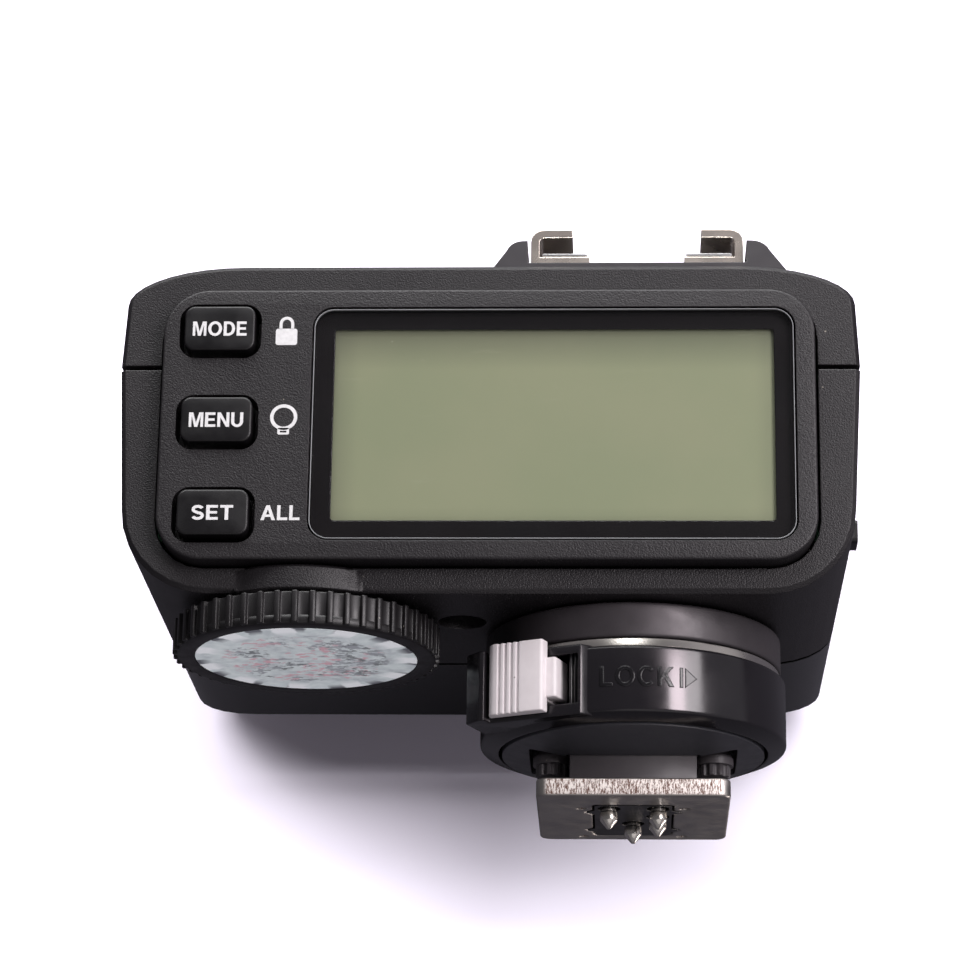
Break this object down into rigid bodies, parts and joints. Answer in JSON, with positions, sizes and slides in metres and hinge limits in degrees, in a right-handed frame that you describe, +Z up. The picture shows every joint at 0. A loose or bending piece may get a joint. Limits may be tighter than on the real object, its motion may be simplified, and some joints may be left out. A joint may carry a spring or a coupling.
{
  "type": "wireless flash trigger",
  "caption": "Flat rectangular camera-top radio trigger with rear display, keys, thumb dial, locking foot below and accessory shoe on top.",
  "frame": {"origin": "on the foot's vertical axis, at the underside of the foot plate", "axes": "+Z up through the foot and case, -Y towards the user and the display, +X to the user's right"},
  "size_m": [0.0724, 0.0751, 0.059],
  "materials": {
    "case": "fine-grained black",
    "gloss_cover": "polished black",
    "inner_plastic": "plain black",
    "display_glass": "clear with a black printed border",
    "display_panel": "grey-green reflective display",
    "diffuser": "milky white",
    "key_plastic": "satin black",
    "pad_rubber": "silicone",
    "board": "green circuit board",
    "steel": "bright",
    "nickel": "satin nickel plate",
    "label_foil": "silver foil with a mottled shimmer",
    "grey_plastic": "warm light grey, satin",
    "red_plastic": "dark red",
    "light_pipe": "clear",
    "cell_jacket": "printed foil sleeve",
    "lamp_window": "dark red translucent"
  },
  "bodies": {
    "case": {"upper_case": "case", "lower_case": "case", "battery_tray": "inner_plastic", "front_panel": "case", "lcd_glass": "display_glass", "lcd_module": "display_panel", "lcd_backlight": "diffuser", "key_pad": "pad_rubber", "control_board": "board", "main_board": "board", "radio_module": "steel", "dial_encoder": "steel", "foot_collar": "case", "friction_washer": "steel", "foot_neck": "key_plastic", "foot_plate": "nickel", "contact_insert": "gloss_cover", "shoe_rail": "nickel", "shoe_spring_plate": "steel", "shoe_surround": "key_plastic", "shoe_contact_block": "key_plastic", "shoe_contact_left": "nickel", "shoe_contact_right": "nickel", "shoe_contact_side": "nickel", "shoe_contact_centre": "nickel", "status_light": "light_pipe", "data_socket": "steel", "sync_jack": "key_plastic", "battery_rear": "cell_jacket", "battery_front": "cell_jacket", "cell_spring_rear": "nickel", "cell_spring_front": "nickel", "contact_plate_left": "nickel", "contact_plate_right": "nickel", "assist_lamp_window": "lamp_window", "assist_led": "red_plastic", "case_screw": "steel"},
    "dial": {"select_dial": "key_plastic", "dial_label": "label_foil"},
    "lock_ring": {"lock_ring": "gloss_cover"},
    "lock_button": {"lock_button": "grey_plastic"},
    "clamp_disc": {"clamp_disc": "key_plastic"},
    "battery_door": {"battery_door": "gloss_cover"},
    "power_switch": {"power_switch": "key_plastic"},
    "assist_switch": {"assist_switch": "key_plastic"},
    "mode_button": {"mode_button": "key_plastic"},
    "menu_button": {"menu_button": "key_plastic"},
    "set_button": {"set_button": "key_plastic"},
    "test_button": {"test_button": "red_plastic"},
    "group_button_a": {"group_button_a": "key_plastic"},
    "group_button_b": {"group_button_b": "key_plastic"},
    "group_button_c": {"group_button_c": "key_plastic"},
    "group_button_d": {"group_button_d": "key_plastic"},
    "group_button_e": {"group_button_e": "key_plastic"},
    "contact_pin_left": {"contact_pin_left": "nickel"},
    "contact_pin_right": {"contact_pin_right": "nickel"},
    "contact_pin_side": {"contact_pin_side": "nickel"},
    "contact_pin_centre": {"contact_pin_centre": "nickel"}
  },
  "joints": [
    {"name": "dial_turn", "type": "hinge", "parent": "case", "child": "dial", "pos_m": [-0.0319, -0.0066, 0.0157], "axis": [0, 0, 1], "continuous": true},
    {"name": "lock_turn", "type": "hinge", "parent": "case", "child": "lock_ring", "pos_m": [0, 0, 0.01], "axis": [0, 0, 1], "range_deg": [0, 40]},
    {"name": "clamp_travel", "type": "slide", "parent": "case", "child": "clamp_disc", "axis": [0, 0, -1], "range_m": [0, 0.0009]},
    {"name": "lock_button_press", "type": "slide", "parent": "lock_ring", "child": "lock_button", "axis": [0.9171, -0.3987, 0], "range_m": [0, 0.0008]},
    {"name": "door_slide", "type": "slide", "parent": "case", "child": "battery_door", "axis": [0, 1, 0], "range_m": [0, 0.012]},
    {"name": "power_slide", "type": "slide", "parent": "case", "child": "power_switch", "axis": [0, 1, 0], "range_m": [0, 0.003]},
    {"name": "assist_slide", "type": "slide", "parent": "case", "child": "assist_switch", "axis": [0, 1, 0], "range_m": [0, 0.003]},
    {"name": "mode_press", "type": "slide", "parent": "case", "child": "mode_button", "axis": [0, 1, 0], "range_m": [0, 0.0006]},
    {"name": "menu_press", "type": "slide", "parent": "case", "child": "menu_button", "axis": [0, 1, 0], "range_m": [0, 0.0006]},
    {"name": "set_press", "type": "slide", "parent": "case", "child": "set_button", "axis": [0, 1, 0], "range_m": [0, 0.0006]},
    {"name": "test_press", "type": "slide", "parent": "case", "child": "test_button", "axis": [0, 0, -1], "range_m": [0, 0.0005]},
    {"name": "group_a_press", "type": "slide", "parent": "case", "child": "group_button_a", "axis": [0, 0, -1], "range_m": [0, 0.0004]},
    {"name": "group_b_press", "type": "slide", "parent": "case", "child": "group_button_b", "axis": [0, 0, -1], "range_m": [0, 0.0004]},
    {"name": "group_c_press", "type": "slide", "parent": "case", "child": "group_button_c", "axis": [0, 0, -1], "range_m": [0, 0.0004]},
    {"name": "group_d_press", "type": "slide", "parent": "case", "child": "group_button_d", "axis": [0, 0, -1], "range_m": [0, 0.0004]},
    {"name": "group_e_press", "type": "slide", "parent": "case", "child": "group_button_e", "axis": [0, 0, -1], "range_m": [0, 0.0004]},
    {"name": "contact_pin_left_press", "type": "slide", "parent": "case", "child": "contact_pin_left", "axis": [0, 0, 1], "range_m": [0, 0.0016]},
    {"name": "contact_pin_right_press", "type": "slide", "parent": "case", "child": "contact_pin_right", "axis": [0, 0, 1], "range_m": [0, 0.0016]},
    {"name": "contact_pin_side_press", "type": "slide", "parent": "case", "child": "contact_pin_side", "axis": [0, 0, 1], "range_m": [0, 0.0016]},
    {"name": "contact_pin_centre_press", "type": "slide", "parent": "case", "child": "contact_pin_centre", "axis": [0, 0, 1], "range_m": [0, 0.0016]}
  ],
  "couplings": [
    {"joint": "clamp_travel", "follows": "lock_turn", "m_per_rad": 0.0012892}
  ]
}
